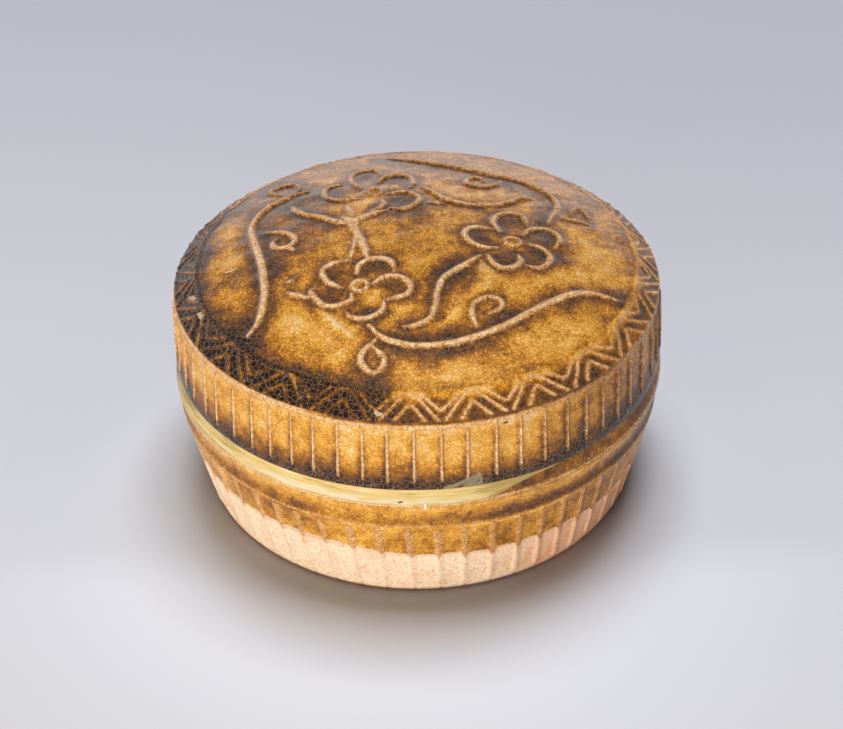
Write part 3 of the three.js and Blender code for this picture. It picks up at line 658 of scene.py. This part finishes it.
def base_surface():
    """Mesh of the base with what its glaze follows."""
    skin, ribs = base_skin()
    angle, radius, height, out_r, out_z = skin.points()
    order = np.arange(len(angle))
    outside = order >= np.flatnonzero(radius >= EDGE_RADIUS - 3.5)[0]
    under = outside & (height < 1.2) & (radius < FOOT_RADIUS - 0.9)
    rise = np.zeros(len(angle))
    glaze = np.full(len(angle), 0.42)
    lip = np.zeros(len(angle))

    wall = outside & (height < WALL_TOP - 0.1) & ~under
    share, flute, width = rib_place(angle - (WALL_TOP - height) * 0.06, ribs)
    rib_gap = np.minimum(share, 1 - share) * np.radians(width) * radius
    arch = 1 - (2 * share - 1) ** 2
    per_flute = np.random.default_rng(9).uniform(-1, 1, BASE_RIB_COUNT)[flute]
    rib_end = ease(height, 1.2, 3.0) * (1 - ease(height, WALL_TOP - 0.8, WALL_TOP - 0.1))
    rib = 0.3 * np.clip(1 - (rib_gap / 1.1) ** 2, 0, 1) ** 1.3 * rib_end
    hollow = -0.16 * arch ** 0.7 * ease(height, 1.0, 3.5) * (1 - ease(height, WALL_TOP - 1.2, WALL_TOP - 0.2))
    slow = unevenness(angle, height, 23, 9)
    rise[wall] = (rib + hollow + 0.07 * slow)[wall]
    band = outside & (height >= WALL_TOP - 0.1) & (height < SEAM - 0.1)
    rise[band] = (0.04 * unevenness(angle, height, 24, 30) - 0.04)[band]

    edge_height = np.interp((angle + 180) % 360 - 180, *np.array(GLAZE_EDGE).T)
    on_rib = 1 - ease(rib_gap, 0.25, 0.8)
    right = span(angle, 25, 110, 25)
    above_edge = height - edge_height - 0.4 * right * arch - 0.25 * per_flute + 0.8 * right * on_rib
    pale_top = (0.04 + 0.12 * span(angle, 16, 50, 10)) * ease(height, 21.0, 22.0)
    flute_glaze = 0.37 + 0.08 * right - pale_top - 0.05 * span(angle, 10, 26, 8)
    # Darkening of the bare clay: a faint real stain all round, plus painted shade towards the right side and as a dark
    # line along the foot.
    stain_and_shade = 0.06 + 0.5 * span(angle, 62, 120, 22) + 1.4 * (1 - ease(height, 0.2, 1.5))
    blush = 0.7 * span(angle, 38, 130, 25)
    glaze[wall] = np.where(above_edge < -1, stain_and_shade, flute_glaze)[wall]
    line_gap = np.full(len(angle), 9.0)
    line_glaze = np.full(len(angle), 0.2)
    line_gap[wall] = (rib_gap - np.where(above_edge < 0, 0.35, 0.85)
                      + 1.5 * ease(height, WALL_TOP - 0.7, WALL_TOP - 0.1))[wall]
    rib_glaze = 0.42 + 0.1 * right - 0.25 * ease(rib_gap, 0.2, 0.8)
    line_glaze[wall] = np.where(above_edge < -1, blush, rib_glaze)[wall]
    bead = np.exp(-((height - (SEAM - 10.1)) / 0.6) ** 2)
    under_edge = ease(SEAM - height, 5.2, 8.9)
    worn = np.exp(-((height - (SEAM - 3.4)) / 0.7) ** 2)
    # The band darkens towards the bead: partly thicker glaze, partly painted shade in the hollow under the edge.
    glaze[band] = (0.25 + (0.20 + 0.1 * right) * under_edge - 0.2 * bead + 0.08 * right)[band]
    line_gap[band] = (0.5 - np.maximum(0.9 * bead, 1.05 * worn))[band]
    line_glaze[band] = (0.16 + 0.2 * right + 0.1 * bead)[band]
    on_lip = outside & (height >= SEAM - 3.3)
    yellow = span(angle, -80, 27, 14) * (1 - 0.3 * span(angle, -95, -52, 12)) * (1 - 0.35 * span(angle, 15, 40, 8))
    low_side = SEAM - 3.3 + 2.5 * span(angle, 30, 60, 19) + 2.5 * span(angle, -125, -90, 14)
    cream = 0.5 * (1 - ease(height, SEAM - 2.9, SEAM - 1.7)) * span(angle, -60, 10, 20)
    lip[on_lip] = ((yellow + cream) * ease(height, low_side - 0.6, low_side + 0.7))[on_lip]
    glaze[on_lip] = 0.52

    inside = ~outside
    glaze[inside] = 0.36
    above_edge = np.where(under, -9, above_edge)
    above_edge = np.where(band, 9, above_edge)
    above_edge = np.where(inside, RIM_TOP - 6 - height, above_edge)
    above_edge = np.where(inside & (radius > RIM_RADIUS - 1.5), -9, above_edge)
    above_edge = np.where(outside & (height >= SEAM - 0.1), -9, above_edge)
    points = placed(angle, radius + rise * out_r, height + rise * out_z)
    points[:, 2] = np.maximum(points[:, 2], 0)
    return points, skin.faces(), {
        "glaze": glaze, "line_gap": line_gap, "line_glaze": line_glaze, "above_edge": above_edge, "lip": lip,
    }


def make_piece(name, surface, material, body, node):
    """One visible piece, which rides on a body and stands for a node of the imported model."""
    points, faces, measures = surface
    mesh = bpy.data.meshes.new(name)
    mesh.from_pydata((points * MM).tolist(), [], faces)
    mesh.validate()
    mesh.polygons.foreach_set("use_smooth", np.ones(len(mesh.polygons), bool))
    for measure, values in measures.items():
        layer = mesh.attributes.new(measure, "FLOAT", "POINT")
        layer.data.foreach_set("value", np.asarray(values, np.float32))
    piece = bpy.data.objects.new(name, mesh)
    bpy.context.collection.objects.link(piece)
    mesh.materials.append(material)
    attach(piece, body)
    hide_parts(node)
    return piece


def tone(red, green, blue):
    """A screen colour, 0 to 255 in each channel, as the light that a shader works in."""
    def light(value):
        share = value / 255
        return share / 12.92 if share <= 0.04045 else ((share + 0.055) / 1.055) ** 2.4
    return (light(red), light(green), light(blue), 1)


class Wire:
    """A value in a node tree. Python's operators on it add Math nodes."""

    def __init__(self, nodes, socket):
        self.nodes = nodes
        self.socket = socket

    def math(self, operation, first, second=0.0):
        return self.nodes.add("Math", {"operation": operation}, {0: first, 1: second})

    def __add__(self, other):
        return self.math("ADD", self, other)

    __radd__ = __add__

    def __sub__(self, other):
        return self.math("SUBTRACT", self, other)

    def __rsub__(self, other):
        return self.math("SUBTRACT", other, self)

    def __mul__(self, other):
        return self.math("MULTIPLY", self, other)

    __rmul__ = __mul__

    def __abs__(self):
        return self.math("ABSOLUTE", self)


class Nodes:
    """The node tree of a material or of the world."""

    def __init__(self, owner):
        owner.use_nodes = True
        self.tree = owner.node_tree
        self.tree.nodes.clear()

    def add(self, kind, settings=None, sockets=None, output=0):
        """Adds a node: its settings first, then the values or links of its sockets."""
        node = self.tree.nodes.new("ShaderNode" + kind)
        for name, value in (settings or {}).items():
            if name == "stops":
                ramp = node.color_ramp.elements
                while len(ramp) < len(value):
                    ramp.new(1)
                for stop, (place, colour) in zip(ramp, value):
                    stop.position = place
                    stop.color = colour
            else:
                setattr(node, name, value)
        for name, value in (sockets or {}).items():
            if isinstance(value, Wire):
                self.tree.links.new(value.socket, node.inputs[name])
            else:
                node.inputs[name].default_value = value
        return Wire(self, node.outputs[output]) if node.outputs else None

    def mix(self, share, first, second, blend="MIX"):
        """Colours mixed by a share from 0, the first, to 1, the second."""
        settings = {"data_type": "RGBA", "blend_type": blend}
        return self.add("Mix", settings, {0: share, 6: first, 7: second}, output=2)

    def step(self, value, low, high):
        """0 where the value is below low, 1 above high and smooth between; low may be the larger."""
        sockets = {"Value": value, "From Min": low, "From Max": high}
        return self.add("MapRange", {"interpolation_type": "SMOOTHSTEP"}, sockets)

    def measure(self, name):
        """A number stored on the mesh's points."""
        return self.add("Attribute", {"attribute_name": name}, output=2)

    def place(self):
        """The point's own place on its piece, in metres."""
        return self.add("TexCoord", output=3)

    def noise(self, size, detail=2.0, roughness=0.5, output=0):
        """Soft noise round 0.5 with lumps of about that size in millimetres."""
        sockets = {"Vector": self.place(), "Scale": 1 / (size * MM), "Detail": detail, "Roughness": roughness}
        return self.add("TexNoise", {}, sockets, output)

    def cells(self, size, wander, feature="DISTANCE_TO_EDGE", output=0):
        """Distance from the edges of a net of cells of that size, as a share of the size, or another output."""
        shaking = self.noise(size * 0.8, output=1)
        shake = self.add("VectorMath", {"operation": "SUBTRACT"}, {0: shaking, 1: (0.5,) * 3})
        moved = self.add("VectorMath", {"operation": "MULTIPLY_ADD"},
                         {0: shake, 1: (wander * MM,) * 3, 2: self.place()})
        sockets = {"Vector": moved, "Scale": 1 / (size * MM), "Randomness": 1.0}
        return self.add("TexVoronoi", {"feature": feature}, sockets, output)

    def from_path(self, points, stretch=(1, 1, 1)):
        """Distance in metres from a line through places of the piece, after stretching space."""
        stretch = Vector(stretch)
        here = self.add("VectorMath", {"operation": "MULTIPLY"}, {0: self.place(), 1: stretch})
        nearest = 1.0
        points = [Vector(point) * MM * stretch for point in points]
        for start, end in zip(points, points[1:]):
            along = end - start
            offset = self.add("VectorMath", {"operation": "SUBTRACT"}, {0: here, 1: start})
            share = self.add("VectorMath", {"operation": "DOT_PRODUCT"},
                             {0: offset, 1: along / along.length_squared}, output=1)
            share = self.add("Clamp", {}, {"Value": share})
            foot = self.add("VectorMath", {"operation": "SCALE"}, {0: along, "Scale": share})
            away = self.add("VectorMath", {"operation": "DISTANCE"}, {0: offset, 1: foot}, output=1)
            nearest = self.add("Math", {"operation": "MINIMUM"}, {0: nearest, 1: away})
        return nearest

    def surface(self, shader):
        self.add("OutputMaterial", {}, {"Surface": shader})


# Colours of the glaze from thinnest to thickest, and of the clay
GLAZE_TONES = [
    (0.00, tone(244, 212, 166)), (0.10, tone(242, 194, 116)), (0.20, tone(238, 174, 72)),
    (0.30, tone(222, 156, 54)), (0.40, tone(194, 128, 36)), (0.52, tone(148, 90, 28)),
    (0.64, tone(104, 66, 34)), (0.78, tone(62, 40, 26)), (1.00, tone(36, 24, 18)),
]
LINE_TONES = [
    (0.00, tone(254, 230, 192)), (0.20, tone(238, 192, 136)), (0.40, tone(208, 152, 92)),
    (0.60, tone(176, 114, 44)), (0.80, tone(112, 68, 26)), (1.00, tone(60, 38, 24)),
]
CLAY = tone(254, 227, 190)
CLAY_BLUSH = tone(238, 150, 98)
CLAY_GRIT = tone(208, 154, 112)
CLAY_STAIN_AND_SHADE = tone(160, 96, 56)
LIP_YELLOW = tone(240, 206, 130)
LIP_CREAM = tone(250, 230, 188)
LIP_OLIVE = tone(180, 146, 84)
PALE_CRACK = tone(184, 148, 118)
BROWN_CRACK = tone(90, 50, 16)
GLAZE_ROUGHNESS = 0.25
CLAY_ROUGHNESS = 0.85


def wall_place(angle, radius, height):
    turn = math.radians(angle)
    return (radius * math.sin(turn), -radius * math.cos(turn), height)


# Small marks of age, and some painted highlights: a line of places, half its width in millimetres, its colour, and how
# strong it is
CHIP = tone(44, 28, 20)
PALE_CHIP_AND_GLINT = tone(232, 200, 170)
RUST = tone(176, 100, 54)
CROWN_MARKS = [
    ([(-7.5, -16.7, 0), (-6.6, -19.1, 0), (-6.3, -21.0, 0), (-7.9, -22.7, 0), (-6.9, -24.8, 0),
      (-6.3, -26.9, 0), (-6.0, -29.9, 0)], 0.13, CHIP, 0.9),
    ([(-42.4, -6.6, 0), (-40.0, -6.0, 0)], 0.3, PALE_CHIP_AND_GLINT, 0.8),
    ([(12.6, -19.3, 0), (12.9, -19.2, 0)], 0.32, CHIP, 0.85),
    # These two pale marks on the left shoulder are painted glints; the other pale marks are chips.
    ([(-50.2, -11.0, 0), (-49.6, -12.0, 0)], 0.6, PALE_CHIP_AND_GLINT, 0.7),
    ([(-47.9, -17.9, 0), (-47.4, -18.9, 0)], 0.6, PALE_CHIP_AND_GLINT, 0.7),
    ([(-8.9, -52.7, 0), (-8.1, -53.0, 0)], 0.5, PALE_CHIP_AND_GLINT, 0.7),
    ([(8.0, -33.2, 0), (9.4, -32.3, 0)], 0.25, CHIP, 0.5),
]
LID_MARKS = [
    ([wall_place(18.8, 55.1, 48.1), wall_place(19.3, 55.1, 48.3)], 0.36, CHIP, 0.9),
]
BASE_MARKS = [
    ([wall_place(1.0, 56.4, 29.9), wall_place(1.0, 56.3, 28.9)], 0.26, tone(255, 248, 226), 0.9),
    ([wall_place(-4.7, 56.0, 30.5), wall_place(-4.2, 56.0, 30.5)], 0.28, CHIP, 0.9),
    ([wall_place(5.6, 55.4, 25.6), wall_place(6.4, 55.4, 26.4)], 0.45, CHIP, 0.5),
    ([wall_place(10.8, 55.4, 25.4), wall_place(11.0, 55.4, 26.6)], 0.45, CHIP, 0.5),
    ([wall_place(25.0, 56.2, 28.0), wall_place(25.3, 56.2, 28.3)], 0.25, tone(255, 248, 226), 0.9),
    # A pale streak along the top of the edge at the right: partly worn glaze, partly a painted highlight.
    ([wall_place(30.5, 56.3, 30.6), wall_place(36.0, 56.2, 31.0), wall_place(43.0, 56.3, 30.5)], 0.32,
     tone(240, 220, 196), 0.8),
    ([wall_place(-8.7, 49.3, 1.9), wall_place(-8.2, 49.3, 1.7)], 0.45, CHIP, 0.85),
    ([wall_place(37.2, 49.2, 1.2), wall_place(39.6, 49.2, 1.6)], 1.0, RUST, 0.7),
]
# The sliver of pale glaze that runs from the lip up the lid
FLAKE = [wall_place(5.6, 55.7, 33.8), wall_place(12.8, 55.4, 36.2), wall_place(13.4, 55.4, 34.2),
         wall_place(9.8, 55.5, 34.1), wall_place(12.4, 55.4, 35.2)]
FLAKE_WIDTH = 0.78
FLAKE_COLOUR = tone(158, 146, 112)


def stoneware(name, marks):
    """Amber glaze whose colour follows its thickness, over buff clay that is bare below the glaze's edge."""
    material = bpy.data.materials.new(name)
    nodes = Nodes(material)
    grain = nodes.noise(0.3, detail=2)
    fine = nodes.noise(0.8, detail=3, roughness=0.6)
    middle = nodes.noise(2.6, detail=2)
    broad = nodes.noise(9, detail=2)
    cells = nodes.cells(1.15, 0.35)
    small_cells = nodes.cells(0.8, 0.25)
    crack = nodes.step(cells, 0.05, 0.01)
    small_crack = nodes.step(small_cells, 0.09, 0.02)

    cell_shade = nodes.cells(0.8, 0.25, "F1", 1)
    mottle = (fine - 0.5) * 0.4 + (middle - 0.5) * 0.45 + (broad - 0.5) * 0.5 + (grain - 0.5) * 0.35
    crazing = 0.5 + nodes.measure("gloss") * 0.6
    mottle = mottle + ((0.42 - nodes.step(small_cells, 0, 0.3)) * 0.13 + (cell_shade - 0.5) * 0.14) * crazing
    thickness = nodes.measure("glaze") + mottle
    colour = nodes.add("ValToRGB", {"stops": GLAZE_TONES}, {"Fac": thickness})
    thick = nodes.step(thickness, 0.48, 0.7)
    black = nodes.step(thickness, 0.66, 0.86)
    colour = nodes.mix(small_crack * (1 - thick) * 0.26, colour, BROWN_CRACK)
    colour = nodes.mix(crack * (0.16 + thick * 0.1 + black * 0.26), colour, PALE_CRACK)
    gap = nodes.measure("line_gap") + (fine - 0.5) * 0.38 + (grain - 0.5) * 0.25
    on_line = nodes.step(gap, 0.25, -0.35)
    speckle = ((grain - 0.5) * 1.2 + (fine - 0.5) * 0.9 + (middle - 0.5) * 0.4) * (crazing * 0.6 + 0.4)
    line_thickness = nodes.measure("line_glaze") + nodes.step(gap, -0.7, 0.1) * 0.3 + speckle
    line_colour = nodes.add("ValToRGB", {"stops": LINE_TONES}, {"Fac": line_thickness})
    colour = nodes.mix(on_line, colour, line_colour)

    along = nodes.add("VectorMath", {"operation": "MULTIPLY"}, {0: nodes.place(), 1: (1, 1, 12)})
    streaks = nodes.add("TexNoise", {}, {"Vector": along, "Scale": 1 / (8 * MM), "Detail": 4.0})
    lip = nodes.measure("lip")
    olive = nodes.step(lip + (0.5 - streaks) * 2.2, 0.95, 0.5)
    creamy = nodes.step(lip + (0.5 - streaks) * 2.4, 1.05, 1.5)
    lip_colour = nodes.mix(creamy * 0.9, LIP_YELLOW, LIP_CREAM)
    lip_colour = nodes.mix(olive * 0.8, lip_colour, LIP_OLIVE)
    on_lip = nodes.step(lip + (streaks - 0.5) * 0.5, 0.3, 0.42)
    colour = nodes.mix(on_lip, colour, lip_colour)
    sliver = nodes.from_path(FLAKE) * (1 / MM) + (fine - 0.5) * 0.4
    colour = nodes.mix(nodes.step(sliver, FLAKE_WIDTH, FLAKE_WIDTH - 0.35) * 0.7, colour, FLAKE_COLOUR)

    blush = nodes.step(nodes.noise(5, detail=3), 0.5, 0.7)
    flush = nodes.measure("line_glaze")
    clay = nodes.mix(blush * (0.25 + flush * 0.3) + flush * 0.7, CLAY, CLAY_BLUSH)
    clay = nodes.mix(nodes.step(grain + (fine - 0.5) * 0.5, 0.46, 0.7) * 0.6, clay, CLAY_GRIT)
    clay = nodes.mix(nodes.step(fine, 0.52, 0.68) * (0.45 + flush * 0.5), clay, CLAY_BLUSH)
    # The clay's stain, with the painted shade on its right side and along its foot.
    clay = nodes.mix(nodes.measure("glaze") * (0.6 + on_line * 0.6) + on_line * 0.1, clay, CLAY_STAIN_AND_SHADE)
    glazed = nodes.step(nodes.measure("above_edge") + (fine - 0.5) * 0.9, -0.12, 0.12)
    colour = nodes.mix(glazed, clay, colour)

    for points, width, mark_colour, strength in marks:
        stretch = (1, 1, 0) if points[0][2] == 0 else (1, 1, 1)
        away = nodes.from_path(points, stretch) * (1 / MM) + (grain - 0.5) * (0.2 + width) + (fine - 0.5) * width * 2
        colour = nodes.mix(nodes.step(away, width, width * 0.6) * strength, colour, mark_colour)

    height = grain * 0.4 + fine * 0.4
    bump = nodes.add("Bump", {}, {"Strength": 0.6, "Distance": 0.1 * MM, "Height": height})
    roughness = CLAY_ROUGHNESS + (GLAZE_ROUGHNESS - CLAY_ROUGHNESS) * glazed + (fine - 0.5) * 0.15
    nodes.surface(nodes.add("BsdfPrincipled", {}, {
        "Base Color": colour, "Roughness": roughness, "Normal": bump, "Specular IOR Level": 0.35, "IOR": 1.45,
        "Coat Weight": nodes.measure("gloss"), "Coat Roughness": 0.3,
    }))
    return material


def make_floor():
    """A pale floor that runs on behind the box, with light and shade painted into its colour."""
    half = 4.0
    mesh = bpy.data.meshes.new("floor")
    mesh.from_pydata([(-half, -half, 0), (half, -half, 0), (half, half, 0), (-half, half, 0)], [], [(0, 1, 2, 3)])
    floor = bpy.data.objects.new("floor", mesh)
    bpy.context.collection.objects.link(floor)
    material = bpy.data.materials.new("pale_paper")
    nodes = Nodes(material)
    axes = [nodes.add("SeparateXYZ", {}, {0: nodes.place()}, output) for output in (0, 1)]
    # Darker towards the back and right: painted falloff of the light.
    far = nodes.step(axes[1] + 0.25 * axes[0], -0.16, 0.30)
    away = nodes.add("VectorMath", {"operation": "LENGTH"}, {0: nodes.place()}, output=1)
    # A cooler ring round the box, lighter in front and a touch darker at the sides: painted light and shade.
    ahead = nodes.step(axes[1], -0.03, -0.05)
    near = nodes.mix(ahead, tone(220, 225, 234), tone(234, 239, 249))
    colour = nodes.mix(nodes.step(away, 0.13, 0.07), tone(228, 228, 234), near)
    # A painted contact shadow round the foot, deepest in front.
    contact_shadow = nodes.step(away, 0.058, 0.050) * 0.12 + nodes.step(away, 0.067, 0.050) * 0.44 * ahead
    colour = nodes.mix(contact_shadow, colour, tone(120, 124, 124))
    colour = nodes.mix(far, colour, tone(192, 192, 204))
    nodes.surface(nodes.add("BsdfPrincipled", {}, {"Base Color": colour, "Roughness": 0.9}))
    mesh.materials.append(material)


def aim(thing, location, target):
    """Places a light and points it."""
    thing.location = location
    thing.rotation_euler = (Vector(target) - Vector(location)).to_track_quat("-Z", "Y").to_euler()


def make_light(name, location, width, height, power):
    data = bpy.data.lights.new(name, "AREA")
    data.shape = "RECTANGLE"
    data.size = width
    data.size_y = height
    data.energy = power
    light = bpy.data.objects.new(name, data)
    bpy.context.collection.objects.link(light)
    aim(light, location, (0, 0, 0.03))
    light.visible_glossy = False


WORLD_FILL = 0.04
WORLD_SHEEN = 1.0


def make_world():
    world = bpy.data.worlds.new("studio")
    bpy.context.scene.world = world
    nodes = Nodes(world)
    upward = nodes.add("SeparateXYZ", {}, {0: nodes.add("TexCoord")}, output=2)
    seen = [nodes.add("LightPath", output=ray) for ray in (0, 3)]
    strength = WORLD_FILL + (seen[0] + seen[1]) * WORLD_SHEEN
    colour = nodes.mix(nodes.step(upward, 0.05, 0.6), tone(252, 253, 255), tone(110, 110, 114))
    background = nodes.add("Background", {}, {"Color": colour, "Strength": strength})
    nodes.add("OutputWorld", {}, {"Surface": background})


# Viewing angle of the photograph
LENS = 85.41
ELEVATION = 35.48
DISTANCE = 467.0
ROLL = -1.05
AIM_HEIGHT = 30.0
SHIFT = (0.00427, -0.01732)


def make_camera():
    tilt, roll = math.radians(ELEVATION), math.radians(ROLL)
    back = Vector((0, -math.cos(tilt), math.sin(tilt)))
    level = Vector((1, 0, 0))
    upward = back.cross(level)
    right = level * math.cos(roll) + upward * math.sin(roll)
    up = upward * math.cos(roll) - level * math.sin(roll)
    data = bpy.data.cameras.new("camera")
    data.sensor_width = 36
    data.lens = LENS
    data.shift_x, data.shift_y = SHIFT
    data.clip_start, data.clip_end = 0.01, 20
    camera = bpy.data.objects.new("camera", data)
    bpy.context.collection.objects.link(camera)
    camera.matrix_world = Matrix((right, up, back)).transposed().to_4x4()
    camera.location = (back * DISTANCE + Vector((0, 0, AIM_HEIGHT))) * MM
    bpy.context.scene.camera = camera


make_camera()
make_world()
make_light("overhead", (0.08, 0.46, 2.2), 1.15, 1.15, 48)
make_light("front", (-0.8, -2.1, 0.11), 1.9, 0.17, 47)
make_floor()
make_piece("base_body", base_surface(), stoneware("base_glaze", BASE_MARKS), "base", "base")
make_piece("lid_body", lid_surface(), stoneware("lid_glaze", CROWN_MARKS + LID_MARKS), "lid", "lid")

bpy.context.scene.view_settings.view_transform = "Standard"
